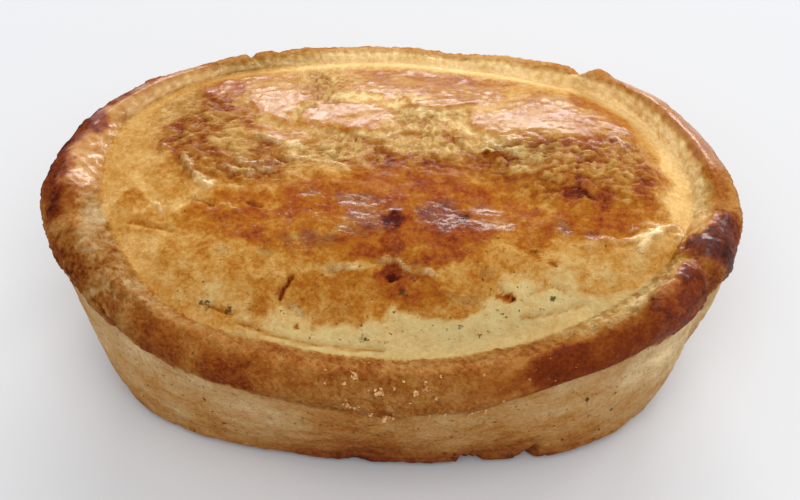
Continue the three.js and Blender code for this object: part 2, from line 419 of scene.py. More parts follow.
# Mounds and hollows at the right end, where the lid's dough curls against the rim: x, y, half
# width, half depth, turn and height
MOUNDS = [
    (45.2, -7.6, 3.2, 3.6, 0, 0.9), (43.1, -11.5, 1.6, 1.6, 0, -0.6), (41, -17, 4.8, 2.8, 62, 0.65),
    (39.4, -7.4, 2.2, 3, 0, 0.5), (42.1, -7, 0.7, 2.4, 0, -0.2),
]
# Where the egg ran over the rim it baked to a smooth skin
GLAZED = [
    (45, -6.4, 4.2, 4.4, 0), (41, -17, 5.2, 2.6, 62), (-44.9, 4, 2.8, 6.4, 0),
    (-42.8, 11.5, 5.6, 2.6, 62), (-38, 18, 5, 2.6, 40), (-32.5, 22.4, 6, 2.4, 32),
    (44.4, 13, 7, 2.6, 117), (37, 22.8, 5.4, 2, 141),
]
# The dark stretch at the front right, as even but dull
DULL = [(18, -31.4, 6, 1.6, 12), (26, -28.8, 7, 2.4, 26), (34, -24.4, 6, 2.4, 38)]
# Crumbling dough over the whole rim, and fibres of torn dough across its inner slope
CRUMBLY = [(203, 22, 1.4), (330, 24, 1.2), (270, 40, 0.6)]
FIBROUS = [(265, 60, 1)]
# The lip is ragged along the front
RAGGED_LIP = [(278, 24, 1)]


def within(hills, most=1.0):
    """How far a point lies in stretches round the pastry, given as hills, cut off at most."""
    return np.minimum(most, around(hills))


on_rim = smoothstep(0.97, 1.08, along) * (1 - smoothstep(1.9, 2.04, along))
relief += (around(NICKS) + around(LUMPS)) * bump((along - 1.42) / 0.5)
for *oval, rise in MOUNDS:
    relief += rise * patch(*oval, soft=0.6)

skin = patches(GLAZED, 0.35) * on_rim
# The skin on the lumps of the front right is only half as even
even_skin = skin * mix(1, 0.5, smoothstep(30, 40, x) * (y < -3))
even = np.maximum(even_skin, patches(DULL, 0.35) * on_rim)
rolled = 0.30 * mottle(6, 20, 2) + 0.20 * ridges(2.4, 21, 3) + 0.20 * ridges(1.1, 22, 3) - 0.2
relief += rolled * on_rim * (1 - 0.85 * even)

# The inner edge is broken and crumbling, but smoother along the back
broken = bump((along - 1.12) / 0.22)
rough_edge = 1 - within([(60, 90, 1.5)], 0.8)
relief += 0.30 * mottle(1.2, 23, 2) * broken * rough_edge
inner_crumb = 0.5 * bump((along - 1.2) / 0.4) * rough_edge
crumbling = np.maximum(inner_crumb, on_rim * within(CRUMBLY)) * (1 - even)
crumb_flakes = scales(1.6, 25, 0.8)
relief += flaking(crumb_flakes, 0.20, 0.20) * crumbling
FIBRES_PER_DEGREE = 2.6
fibres = np.sin(angle * FIBRES_PER_DEGREE + 3 * mottle(5, 26, 2)) * bump((along - 1.22) / 0.24)
relief += 0.07 * fibres * around(FIBROUS)
ragged_lip = bump((along - 1.84) / 0.1) * around(RAGGED_LIP)
relief += ragged_lip * (0.4 + 0.6 * mottle(1.3, 24, 3))


# -------------------------------------------------------------------------------------------------
# The wall and the foot. They took the tin's smooth face as they baked, so they are flat but for
# shallow creases where the lining folded, pores, and a foot that broke when it was turned out.
# -------------------------------------------------------------------------------------------------
# Chips that came off the foot: angle, half width in degrees, and height in millimetres
FOOT_CHIPS = [
    (292.9, 1.6, 0.6), (294.9, 1.6, 0.6), (296.9, 1.6, 0.5), (309.6, 1.6, 1.2), (308.1, 1.6, 0.6),
    (306.6, 1.6, 0.3), (262, 5, 0.3),
]
CHIP_DEPTH, CHIP_LIFT = 1.1, 1.2  # how far each goes in and up, as shares of its height
PORES, PORE_DEPTH = 90, 0.35


def normals(places):
    """Outward direction at each point of the pastry."""
    a, b, c, d = (places[quads[:, corner]] for corner in range(4))
    face = np.cross(c - a, d - b)
    total = np.zeros_like(places)
    for corner in range(4):
        for axis in range(3):
            total[:, axis] += np.bincount(quads[:, corner], face[:, axis], len(places))
    total[-1] = (0, 0, -1)
    return total / np.linalg.norm(total, axis=1)[:, None]


def nearest_point(turn, row):
    """The mesh's point nearest to an angle and a place along the section."""
    return np.argmin(np.abs(angle - turn) + 99 * np.abs(along - row))


on_wall = smoothstep(1.94, 2.04, along) * (1 - smoothstep(3.9, 4.0, along))
creases = smoothstep(0.82, 1.0, ridges(5, 30, 2, (3, 3, 0.6)))
relief += on_wall * (0.22 * mottle(12, 31, 2) + 0.10 * mottle(2.5, 32) - 0.3 * creases)
relief += on_wall * 0.07 * ridges(1.4, 34, 3, (2.4, 2.4, 0.8))
relief += 0.2 * mottle(1.6, 33, 2) * bump((along - 3.5) / 0.5)
# Pores: angle, place along the section and half width in millimetres
chance = np.random.default_rng(5)
pore_angles = chance.uniform(0, 360, PORES)
pore_rows = chance.uniform(2.25, 3.5, PORES)
pore_sizes = chance.uniform(0.3, 0.6, PORES)
pitted = np.zeros(len(x))
for turn, row, half_width in zip(pore_angles, pore_rows, pore_sizes):
    away = np.linalg.norm(place - place[nearest_point(turn, row)], axis=1)
    pitted = np.maximum(pitted, bump(away / half_width))
relief -= PORE_DEPTH * pitted
chipped = around(FOOT_CHIPS) * bump((along - 3.45) / 1.0)
relief -= CHIP_DEPTH * chipped

# The whole relief goes on, and the pastry is kept inside the solid's box, standing on the floor
place = place + normals(place) * relief[:, None]
place[:, 2] += CHIP_LIFT * chipped
low, high = (np.array(corner) / MM for corner in CAD_BOX)
place[:, :2] *= np.minimum(1, high[:2] / np.abs(place[:, :2]).max(0))
place[:, 2] = np.clip(place[:, 2], 0, None)
place[:, 2] *= min(1, high[2] / place[:, 2].max())


# -------------------------------------------------------------------------------------------------
# The bake. The heat browned what stood highest and what the egg covered, and left the front of
# the lid and the groove pale. Some of it is painted light: painted highlights where sheen falls,
# the shaded groove painted paler, and painted shade on the front of the wall.
# 0 is raw dough, 0.5 amber and 1 burnt.
# -------------------------------------------------------------------------------------------------
# Ovals on the lid, laid over each other in turn: x, y, half width, half depth, turn, bake.
# A few are painted highlight, as marked.
LID_BAKE_AND_PAINTED_LIGHT = [
    # the back, and the two ends
    (0, 22, 36, 10, 0, 0.30), (-38, 6, 5, 12, -8, 0.31), (-31, 15, 5, 7, 25, 0.30),
    # the pale ovals at (42.6, -1.5) and (41.6, 8) are painted highlight, for a sheen in the shaded
    # groove at the right end
    (6, 27, 18, 2.4, -4, 0.50), (42.6, -1.5, 2.6, 4.6, 0, 0.20), (41.6, 8, 2.2, 5, 16, 0.19),
    (30.5, 19.5, 8, 2.4, -42, 0.52), (-20, 26, 7, 3, 24, 0.44),
    # the pale front
    (2, -26.5, 36, 5.5, 0, 0.20), (-27, -18, 12, 6, -28, 0.34), (-36, -6, 8, 5.5, 0, 0.28),
    (-37, -12, 5, 4, -30, 0.28), (24, -18, 14, 6, 20, 0.21), (32, -13, 9, 4, 20, 0.33),
    (-28.5, -14, 3.4, 3.6, 0, 0.38), (-19, -16.4, 7, 4, 0, 0.40), (-35, -8, 4, 1.8, 0, 0.36),
    (-37.4, -3.6, 2, 2, 0, 0.46), (-29.7, -6.4, 3, 1.6, 0, 0.26), (-20, -12.5, 6, 1.6, 0, 0.34),
    (22, -13.6, 6, 2.4, 10, 0.33), (-20, -21, 6, 2, -10, 0.35),
    # ochre between the amber
    (32.5, -8.4, 5, 1.8, 12, 0.48), (38, -7.2, 3, 2.8, 0, 0.30), (20, -4, 6, 7, -10, 0.42),
    (16, 1, 5, 3, -30, 0.47), (14, -12, 7, 5, -10, 0.38), (-25, -1, 8, 4, 0, 0.38),
    # amber on the left
    (-30, 8, 5, 5, 0, 0.50), (-18.5, 5.2, 6, 1.6, -4, 0.48), (-22, 1.5, 8, 2.6, -10, 0.44),
    (-22.6, 7.6, 3, 3, 0, 0.26), (-36, 13.6, 3, 3, 30, 0.26), (-27, 17, 2.4, 5, 10, 0.50),
    (-25, 21.3, 1.6, 1.9, 0, 0.54), (-22.4, 14, 1.6, 3, 25, 0.50), (-26, -7, 4.4, 2.4, 0, 0.52),
    # the pale ovals at (-10, 7), (4, 8.4) and (15, 8.2) are partly painted highlight, lighter to stand
    # in for sheen on the folds and to lift their shade
    (-18, -7.5, 6, 2.6, 0, 0.58), (-10, 7, 6, 3, 0, 0.21), (-12, 2, 4, 2, 0, 0.34),
    (4, 8.4, 6, 2, 0, 0.17), (15, 8.2, 5, 2, -6, 0.13),
    # the broad amber middle
    (3, 2.5, 8, 3, 0, 0.56), (3, -2, 12, 4, 0, 0.60), (-9, -5, 8, 5.6, 0, 0.60),
    (4, -8, 12, 4.6, 0, 0.60), (-13, -10, 8, 3.4, 10, 0.50), (1, -12, 12, 2.6, 0, 0.58),
    (14, -7, 5, 2.2, 0, 0.54), (-4, -13.6, 9, 1.8, 4, 0.50),
    # amber on the right
    (29, 3, 9, 7, 0, 0.42), (28.5, -0.5, 4, 3, 0, 0.54), (36.5, 2.4, 2, 5, 0, 0.54),
    (18.5, 5.6, 3.4, 2.4, 0, 0.18), (29, 11, 1.6, 3, 0, 0.54), (30, -5.6, 7, 3.2, 8, 0.57),
    (21, -7, 2.4, 3.4, 0, 0.56), (15, 5.4, 2.6, 1.4, 0, 0.56),
    # the two patches at the front
    (-6.5, -19, 7, 4.4, 12, 0.50), (-5, -22.6, 4, 1.4, 0, 0.44), (4, -18.5, 5, 3.6, 0, 0.55),
    (9, -21, 4.6, 1.6, 8, 0.44), (-14.5, -20, 2.4, 2, 0, 0.40), (1, -16.4, 2, 1.6, 0, 0.62),
    (11.5, -17.5, 4, 3.4, 0, 0.42),
    # darker and paler places within all of these
    (-20, -4, 5, 2, 0, 0.50), (9.5, -9.5, 6, 2.2, 0, 0.67),
    # the pale oval at (18.5, 11.4) is painted highlight, for a sheen on the scales there
    (16.8, -4.5, 3, 3.6, 0, 0.52), (18.5, 11.4, 7.5, 2.2, 0, 0.15), (17.5, -8.5, 2.4, 2, 0, 0.50),
    (8, -13, 3, 1.6, 0, 0.65), (-2.5, -13, 2.4, 1.4, 0, 0.66), (-1.5, -22, 2, 1.2, 0, 0.42),
    (-19.5, -10, 4, 1.6, 0, 0.58), (7.4, -6, 3.2, 2, 0, 0.70), (24, -15.5, 4, 2, 20, 0.30),
    (-16.5, -21.5, 2.4, 1.4, 0, 0.44), (-20, -6.6, 3, 1.6, 0, 0.64), (17, -5, 2.6, 3, 0, 0.56),
    # two thin pale streaks
    (-6, -15.8, 5, 0.7, 3, 0.30), (3.4, -15, 4, 0.8, -4, 0.38),
]
REST_OF_LID = 0.42
# Dark places, laid in the same way
SCORCHED = [
    (0.5, -8, 1.9, 1.4, 0, 0.90), (0.4, -11.5, 1.6, 3.2, 0, 0.70), (0.9, -16.5, 1.5, 1.7, 0, 0.76),
    (0.9, -17.4, 0.8, 0.6, 0, 0.92), (10.1, -5.1, 0.55, 0.5, 0, 1.0),
    (16.1, -19.4, 0.9, 0.7, -30, 0.60), (17.2, -19.9, 0.35, 0.3, 0, 0.95),
    (23.2, -13.5, 0.5, 1.0, 0, 0.62), (20, -11.4, 0.6, 1.2, 20, 0.6),
    (18.8, -10.4, 0.8, 0.4, 0, 0.62), (-12.6, -24.4, 0.45, 0.4, 0, 0.56),
    (2, -19.5, 0.7, 0.6, 0, 0.72), (13, -1.4, 1, 2, 20, 0.64), (14.6, 6, 1.4, 0.9, 0, 0.66),
    (-7, 11.2, 0.9, 0.6, 0, 0.56),
]
# The rim's bake, as hills round the pastry over a middling brown
RIM_BAKE = [
    (346, 16, 0.06), (331, 6, -0.08), (318, 18, 0.06), (222, 16, 0.02), (240, 12, 0.08),
    (210, 9, -0.10), (199, 7, -0.04), (189, 5, -0.04), (173, 15, 0.1), (150, 14, 0.06),
    (60, 20, -0.1), (33, 12, 0.06), (17, 8, 0.10), (5, 6, -0.06), (268, 26, 0.03), (250, 14, 0.04),
    (293, 10, 0.07),
]
REST_OF_RIM = 0.46
# Darker still low on the outside of the roll
RIM_EDGE_BAKE = [
    (318, 24, 0.1), (172, 20, 0.3), (195, 5, 0.14), (222, 14, 0.16), (342, 10, 0.1), (17, 15, 0.2),
    (240, 8, 0.08),
]
# Paler on the inner side of the roll
RIM_INNER_PALE = [(162, 30, 1.3), (330, 20, 1.8), (212, 24, 1.2)]
# Ovals on the rim, laid over it in turn like those on the lid. The pale ones at (44.2, -4.8) and
# (40, -13) are painted highlight on the lumps at the right end, and those at (-45.4, 4) and
# (-41.6, 12.6) are paler under the sheen of the left end, partly as painted highlight.
RIM_SPOTS = [
    (45.3, -8.5, 4.2, 2.5, 24, 0.82), (46.4, -9, 2.2, 1.4, 0, 0.90),
    (44.2, -4.8, 3.2, 1.8, 0, 0.30), (48.2, -5.6, 1.8, 3, 0, 0.80), (41.4, -17.2, 5, 2.4, 62, 0.77),
    (36, -15, 2.2, 1.1, -20, 0.12), (39, -7.6, 2.2, 2.6, 0, 0.46), (-47.6, -3.4, 2.2, 4, 0, 0.62),
    (-38.4, -22.6, 2.4, 1.4, -40, 0.46), (-31.6, -27.4, 3, 1.6, -35, 0.66),
    (-44, -15.4, 2.6, 1.4, -55, 0.56), (-42.4, -6.8, 1.7, 3.4, -10, 0.20),
    (-42.4, -11, 1.8, 2.8, -30, 0.21), (40, -13, 1.6, 1.6, 0, 0.24),
    (-39.6, -11, 1.2, 3, -40, 0.30), (-22, -31.4, 4, 1.6, -15, 0.70), (-45.4, 4, 2.4, 7, 0, 0.38),
    (-41.6, 12.6, 5, 2.0, 62, 0.36), (44.6, 12.8, 6, 2.0, 117, 0.54), (37, 22.8, 5, 1.6, 141, 0.46),
    (-48.8, 1, 1.7, 8, 0, 0.78), (-45.6, 12, 5.5, 2.0, 62, 0.76), (-41, 19, 5, 1.5, 45, 0.68),
    (47.4, 4.4, 2, 4.4, 0, 0.58), (19.5, -31.2, 5, 1.0, 14, 0.66), (25.4, -29, 6, 1.9, 26, 0.77),
    (33, -25, 5, 2, 38, 0.74), (38.2, -20.8, 4, 2, 52, 0.71),
]
# Round the right end and the back the groove was sheltered, and stayed yellow. It is painted paler
# still, as painted light that lifts the shade of a slope facing away from the windows.
SHELTERED_AND_PAINTED_LIGHT = [(18, 28, 0.9), (45, 36, 0.8), (95, 60, 1.4)]
# Hills of the wall's bake round the pastry. The browner one at the front middle, at 266, is partly
# painted shade, as that side faces away from the windows.
WALL_BAKE_AND_PAINTED_SHADE = [(266, 36, 0.27), (225, 30, 0.03), (316, 26, 0.08), (336, 20, -0.12), (298, 14, 0.13)]

# The lid: its ovals, then plates, tears and a mottle, then browner cracks and paler crests. These
# are partly painted light: the browner cracks between flakes stand in for shade in them, and the
# paler flakes and folds for highlights on them.
bake = np.full(len(x), REST_OF_LID)
for *oval, level in LID_BAKE_AND_PAINTED_LIGHT:
    bake = mix(bake, level, patch(*oval))
bake = mix(bake, 0.52, plates * 0.75)
bake = mix(bake, 0.02, torn * mix(0.5, 0.9, smoothstep(-16, -6, x)))
bake += (0.10 * mottle(2.6, 43) + 0.07 * mottle(0.9, 8, 2)) * on_lid * smoothstep(0.05, 0.3, bake)
bake -= flaking(scale_flakes, 0.14, 0.15) * scaly
bake += (0.06 * fine_folds - flaking(fold_flakes, 0.10, 0.12)) * bare_folds
bake -= 0.3 * standing
scorched = np.zeros(len(x))
for *oval, level in SCORCHED:
    dark = patch(*oval, soft=0.4)
    scorched = np.maximum(scorched, dark)
    bake = mix(bake, level, dark)
for crack, half_width, depth in CRACKS:
    bake += 0.45 * depth * line(crack, half_width * 0.8, 0.2)

# The rim: browner on the outside of the roll than on its inner slope
rim_bake = REST_OF_RIM + around(RIM_BAKE) * (0.3 + 0.7 * smoothstep(1.2, 1.45, along))
rim_bake += around(RIM_EDGE_BAKE) * smoothstep(1.34, 1.6, along)
rim_bake -= 0.14 * bump((along - 1.22) / 0.25) * around(RIM_INNER_PALE)
# Pale stretches of the inner slope: hill round the pastry, bake, and where they fade outwards.
# The first two, at the back and the right end, are partly painted light: paler than the dough, to
# lift the shade of a slope that faces away from the windows.
PALE_SLOPES = [
    ((90, 60, 1.5), mix(0.14, 0.42, smoothstep(1.15, 1.5, along)), (1.4, 1.55)),
    ((20, 50, 1.5), 0.16, (1.2, 1.4)),
    ((150, 30, 1.5), 0.22, (1.15, 1.35)),
]
for hill, level, fades in PALE_SLOPES:
    rim_bake = mix(rim_bake, level, within([hill]) * (1 - smoothstep(*fades, along)))
sheltered_and_painted_to = 1.2 + 0.08 * mottle(3, 45)
sheltered_and_painted_light = within(SHELTERED_AND_PAINTED_LIGHT) * (1 - smoothstep(-0.1, 0.1, along - sheltered_and_painted_to))
rim_bake = mix(rim_bake, 0.06, sheltered_and_painted_light)
# Pale crumb in the nick at the back, and a paler top to the roll at the front right
rim_bake = mix(rim_bake, 0.06, around([(44.5, 2.2, 1)]) * bump((along - 1.25) / 0.4))
rim_bake -= around([(328, 22, 0.20)]) * (1 - smoothstep(1.3, 1.5, along))
bake = mix(bake, rim_bake, smoothstep(0.98, 1.1, along))
for *oval, level in RIM_SPOTS:
    bake = mix(bake, level, patch(*oval, soft=0.45) * smoothstep(0.98, 1.04, along))
# The lid's edge beside the sheltered groove is painted pale as well, partly as painted light
bake = mix(bake, 0.08, sheltered_and_painted_light * smoothstep(0.9, 0.98, along))

# The wall: pale under the rim and tan at the foot, with an evenly browned underside, and browner
# at the front middle partly as painted shade
wall_bake = 0.21 + 0.32 * smoothstep(2.1, 3.6, along) + around(WALL_BAKE_AND_PAINTED_SHADE)
wall_bake += around([(300, 34, 0.12)]) * smoothstep(2.4, 3.0, along)
wall_bake += 0.11 * mottle(7, 40) + 0.07 * mottle(2, 41, 3, (2.5, 2.5, 1)) * on_wall
bake = mix(bake, wall_bake, smoothstep(1.88, 1.98, along + 0.06 * mottle(2.2, 42)))
bake = mix(bake, 0.56, smoothstep(3.6, 4.2, along))
bake += 0.07 * mottle(3, 44) * on_rim - flaking(crumb_flakes, -0.12, 0.12) * crumbling
bake += 0.05 * fibres * on_rim
bake = np.clip(bake, -0.3, 1)


# -------------------------------------------------------------------------------------------------
# The egg and the crumb. Egg was brushed on by hand: thick on the plates, a thin film over the
# amber, and over the rim where it ran. Where there is none, the open crumb of the dough shows.
# -------------------------------------------------------------------------------------------------
# Round the back and at the right end the egg ran on over the groove to the rim
EGG_RAN = [(330, 26, 1.2), (20, 60, 1.5), (100, 95, 1.5)]
# Smooth skin that hardly shines, as the rim turned a deep red there, and lumps a little duller
DEEP_RED = [(334, 28, 1.6)]
DULL_LUMPS = [(45, -7, 4.2, 3.6, 0), (41, -17, 5.2, 2.6, 62)]
DULL_END = (48.2, -5.4, 1.9, 3)
EXTRA_EGG = (20, 12, 6, 2.4)  # on the scales in front of the plates
# The front of the lid hardly took colour and is a cool cream
RAW = [
    (-4, -28, 24, 4.6, 0), (12, -23, 18, 6, 18), (22, -19, 9, 4.6, 24), (31, -17, 8, 4, 36),
    (-25, -21, 8, 4, -32),
]
# Where the skin of the pale front is torn into flecks: x, y and half width
FLECKS = [
    (-24.5, -22, 1.3), (-22, -22.8, 1.0), (-13, -26.2, 1.6), (-10, -24.8, 0.7), (-6, -26.8, 1.2),
    (-18, -25.2, 1.3), (-15.5, -25.9, 1.1), (-8.4, -27, 1.2), (3.4, -26.4, 1), (-3, -26.4, 1.1),
    (1, -27.2, 1), (5.5, -27, 1.3), (9.1, -26.9, 1.0), (9.5, -24, 1.1), (24.8, -17.8, 0.6),
    (20, -11, 1.2), (13.5, -24.2, 0.9), (-26.5, -18.3, 0.7), (-29.3, -17, 0.6), (23, -19, 1.2),
    (17, -22, 1), (-28, -4, 1.0), (-25.5, -5, 0.9), (-19.4, -4.8, 0.9), (2.2, -20, 1),
    (21, -3.4, 0.6), (24, -7.6, 0.8),
]

thin_film = on_lid * (1 - torn) * smoothstep(0.1, 0.4, bake) * (1 - scorched)
thin_film *= mix(0.04, 0.26, smoothstep(-4, 8, y))
deep_red = np.clip(skin * smoothstep(1.36, 1.52, along) * around(DEEP_RED), 0, 1)
glaze = np.max([
    thin_film,
    patch(*EXTRA_EGG, soft=0.6),
    plates * mix(0.5, 1, plate_flakes[1]),
    dents * mix(0.3, 1, smoothstep(-13, -8, y)),
    np.minimum(1, 3 * standing),
    skin * (1 - 0.8 * deep_red),
], axis=0)
glaze *= 1 - 0.8 * scorched
glaze *= 1 - 0.2 * patches(DULL_LUMPS, 0.35)
glaze *= 1 - 0.6 * patch(*DULL_END, soft=0.5)
# Sugar in the film sparkles in patches on the amber of the front half
sparkling = on_lid * (1 - plates) * (1 - dents)
sparkling *= smoothstep(0.34, 0.5, bake) * (1 - smoothstep(-4, 2, y))
sparkling *= 0.6 * smoothstep(-0.4, 0.6, mottle(3, 52, 2))
# Egg browns redder than bare dough
egg_ran = within(EGG_RAN) * (1 - smoothstep(1.25, 1.4, along))
egged = np.maximum(1 - smoothstep(1.0, 1.12, along), egg_ran)
raw = 0.66 * patches(RAW, 0.6)
raw *= (1 - smoothstep(1.02, 1.14, along)) * (1 - smoothstep(0.16, 0.4, bake))
# Pale dough and the plates are even in colour too
even = np.max([even, 1 - smoothstep(0.15, 0.45, bake), 0.5 * plates], axis=0)
# Open crumb: on the rim wherever no skin covers it, and on what tore, folded or stayed soft
rim_crumb = (0.6 * broken * rough_edge + 0.5 * crumbling + 0.45 * rough_edge) * on_rim * (1 - skin)
crumb = 0.4 * torn + 0.5 * dents + 0.5 * folded * (1 - plates) + 0.4 * scaly + rim_crumb
crumb = np.clip(crumb + 0.3 * on_lid * (1 - baked_hard) + 0.3 * on_wall, 0, 1)
fleck = np.max([pit(*spot, 1.0) for spot in FLECKS], axis=0) * on_lid
fleck = np.max([fleck, 1.2 * pitted, 0.22 * on_wall, 0.16 * on_lid * (1 - baked_hard)], axis=0)


# -------------------------------------------------------------------------------------------------
# The crust. The mesh carries the bake, with the painted light laid into it, the egg and the crumb
# as layers of numbers, and one shortcrust finish turns them into colour, grain and gloss.
# -------------------------------------------------------------------------------------------------
LAYERS = {
    "bake": bake, "egg": egged, "gloss": glaze, "crumb": crumb,
    "fleck": fleck, "raw": raw, "even": even, "glint": sparkling,
}
# Colours from raw dough to burnt: redder under egg, and greyer where bare
EGGED = [
    (0.0, "FFE0A6"), (0.14, "E4BC78"), (0.26, "CA9C58"), (0.37, "BA853A"),
    (0.5, "A66410"), (0.66, "904008"), (0.82, "5C1A04"), (1.0, "200A04"),
]
BARE = [
    (0.0, "FFE0A6"), (0.12, "E2C290"), (0.22, "CCA470"), (0.4, "BA8240"),
    (0.58, "9E5A1C"), (0.74, "7C320A"), (0.88, "4C1806"), (1.0, "200A06"),
]
COOL_CREAM, PORE_BROWN = "C0B27C", "6E5026"
GRAIN_HEIGHT, FILM_HEIGHT = 0.9, 0.5  # how deep the grain and the film are, in millimetres


def piece_from(name, places, faces, smooth=True):
    """A mesh object from places in millimetres."""
    mesh = bpy.data.meshes.new(name)
    mesh.from_pydata((places * MM).tolist(), [], faces)
    if smooth:
        mesh.shade_smooth()
    made = bpy.data.objects.new(name, mesh)
    bpy.context.scene.collection.objects.link(made)
    return made


def linear(code):
    """The linear colour of an sRGB hex value."""
    channels = [int(code[start:start + 2], 16) / 255 for start in (0, 2, 4)]
    return [*(c / 12.92 if c <= 0.04045 else ((c + 0.055) / 1.055) ** 2.4 for c in channels), 1]


def node(tree, kind, inputs=None, stops=None, **settings):
    """Add a shader node with its settings, and link its inputs or set their values."""
    made = tree.nodes.new("ShaderNode" + kind)
    for name, value in settings.items():
        setattr(made, name, value)
    for name, value in (inputs or {}).items():
        if isinstance(value, bpy.types.Node):
            result = 2 if value.bl_idname == "ShaderNodeMix" else 0
            tree.links.new(value.outputs[result], made.inputs[name])
        elif isinstance(value, bpy.types.NodeSocket):
            tree.links.new(value, made.inputs[name])
        else:
            made.inputs[name].default_value = value
    for count, (where, code) in enumerate(stops or []):
        slots = made.color_ramp.elements
        stop = slots[count] if count < 2 else slots.new(where)
        stop.position, stop.color = where, linear(code)
    return made


def spots(tree, size, detail, roughness):
    """Noise from 0 to 1 in spots about size millimetres across, with finer ones among them."""
    at = node(tree, "TexCoord").outputs["Object"]
    settings = {"Vector": at, "Scale": 1 / (size * MM), "Detail": detail, "Roughness": roughness}
    return node(tree, "TexNoise", settings)


pastry = piece_from("Pasticciotto", place, quads.tolist() + fan.tolist())
for name, values in LAYERS.items():
    layer = pastry.data.attributes.new(name, "FLOAT", "POINT")
    layer.data.foreach_set("value", values.astype(np.float32))

# Shortcrust baked golden: dull and sandy where bare, and a thin brown varnish where the egg held
A, B = 6, 7  # the colour sockets of a Mix node
shortcrust = bpy.data.materials.new("Baked shortcrust with egg wash")
shortcrust.use_nodes = True
tree = shortcrust.node_tree
shader = tree.nodes["Principled BSDF"]
layers = {name: node(tree, "Attribute", attribute_name=name).outputs["Fac"] for name in LAYERS}

# Blotches 2.5 mm across, and specks of 0.6 mm, shift the bake up and down, least on pale dough and
# smooth skin
level = layers["bake"]
for size, detail, roughness, most, least in ((2.5, 6.0, 0.65, 0.42, 0.16), (0.6, 4.0, 0.7, 0.50, 0.34)):
    shift = node(tree, "Math", {0: spots(tree, size, detail, roughness), 1: 0.5}, operation="SUBTRACT")
    amount = node(tree, "MapRange", {0: layers["even"], 3: most, 4: least})
    level = node(tree, "Math", {0: shift, 1: amount, 2: level}, operation="MULTIPLY_ADD")
glazed = node(tree, "ValToRGB", {0: level}, stops=EGGED)
bare = node(tree, "ValToRGB", {0: level}, stops=BARE)
colour = node(tree, "Mix", {0: layers["egg"], A: bare, B: glazed}, data_type="RGBA")
colour = node(tree, "Mix", {0: layers["raw"], A: colour, B: linear(COOL_CREAM)}, data_type="RGBA")

# Pores, few where the skin is whole and many where it is torn into flecks
speckle = spots(tree, 0.7, 3.0, 0.7)
speckle = node(tree, "Math", {0: layers["fleck"], 1: 0.26, 2: speckle}, operation="MULTIPLY_ADD")
pore = node(tree, "MapRange", {0: speckle, 1: 0.68, 2: 0.80}, interpolation_type="SMOOTHSTEP")
colour = node(tree, "Mix", {0: pore, A: colour, B: linear(PORE_BROWN)}, data_type="RGBA")
tree.links.new(colour.outputs[2], shader.inputs["Base Color"])

# Grain of the flour and sugar, from 0.6 mm across down, with the pores sunk into it, and deeper
# where the crumb is open
grain = node(tree, "Math", {0: spots(tree, 0.6, 5.0, 0.65), 1: pore}, operation="SUBTRACT")
depth = node(tree, "Math", {0: layers["crumb"], 1: 1.0, 2: 0.3}, operation="MULTIPLY_ADD")
grain = node(tree, "Math", {0: grain, 1: depth}, operation="MULTIPLY")
grained = node(tree, "Bump", {"Height": grain, "Distance": GRAIN_HEIGHT * MM, "Strength": 1.0})
tree.links.new(grained.outputs[0], shader.inputs["Normal"])

# The film of egg lies smoother than the grain, but for the dents, where it caught, and the sugar
sugar = spots(tree, 0.55, 2.0, 0.5)
depth = node(tree, "Math", {0: layers["glint"], 1: 0.5, 2: 0.04}, operation="MULTIPLY_ADD")
depth = node(tree, "Math", {0: layers["crumb"], 1: 0.3, 2: depth}, operation="MULTIPLY_ADD")
film = node(tree, "Math", {0: sugar, 1: depth}, operation="MULTIPLY")
filmed = node(tree, "Bump", {"Height": film, "Distance": FILM_HEIGHT * MM, "Strength": 1.0})
tree.links.new(filmed.outputs[0], shader.inputs["Coat Normal"])
# Grains of sugar that stand out of the film on the amber glint
caught = node(tree, "MapRange", {0: sugar, 1: 0.54, 2: 0.62, 4: layers["glint"]})
coat = node(tree, "Math", {0: caught, 1: layers["gloss"]}, operation="MAXIMUM")
tree.links.new(coat.outputs[0], shader.inputs["Coat Weight"])
rough = node(tree, "Math", {0: layers["gloss"], 1: -0.28, 2: 0.76}, operation="MULTIPLY_ADD")
tree.links.new(rough.outputs[0], shader.inputs["Roughness"])
shader.inputs["Coat Roughness"].default_value = 0.24
shader.inputs["IOR"].default_value = 1.45
shader.inputs["Specular IOR Level"].default_value = 0.1
pastry.data.materials.append(shortcrust)

# One flat map for the finish: the lid in plan, with the rim, the wall and the foot as rings round
# it, and the underside beside it
MAP_WIDTH = 132.0  # millimetres of the plan that the whole map spans
MAP_RINGS = [0, GROOVE_SHARE, 1.04, 1.26, 1.31]  # share of the lip's reach at each end of a part
TOP_AT, UNDER_AT, UNDER_SCALE = (0.5, 0.36), (0.3, 0.86), 0.8
out = np.interp(along, range(len(MAP_RINGS)), MAP_RINGS) * to_lip
top_map = np.stack([out * np.cos(direction), out * np.sin(direction)], 1) / MAP_WIDTH + TOP_AT
under_map = np.stack([x, y], 1) / MAP_WIDTH * UNDER_SCALE + UNDER_AT
under = np.concatenate([along[quads].max(1) > 4.001, np.full(len(fan), True)])
under = np.repeat(under, [4] * len(quads) + [3] * len(fan))
corners = np.zeros(len(pastry.data.loops), dtype=np.int64)
pastry.data.loops.foreach_get("vertex_index", corners)
uv = np.where(under[:, None], under_map[corners], top_map[corners])
pastry.data.uv_layers.new(name="OFBake").uv.foreach_set("vector", uv.astype(np.float32).ravel())

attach(pastry, "root")
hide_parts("pastry")


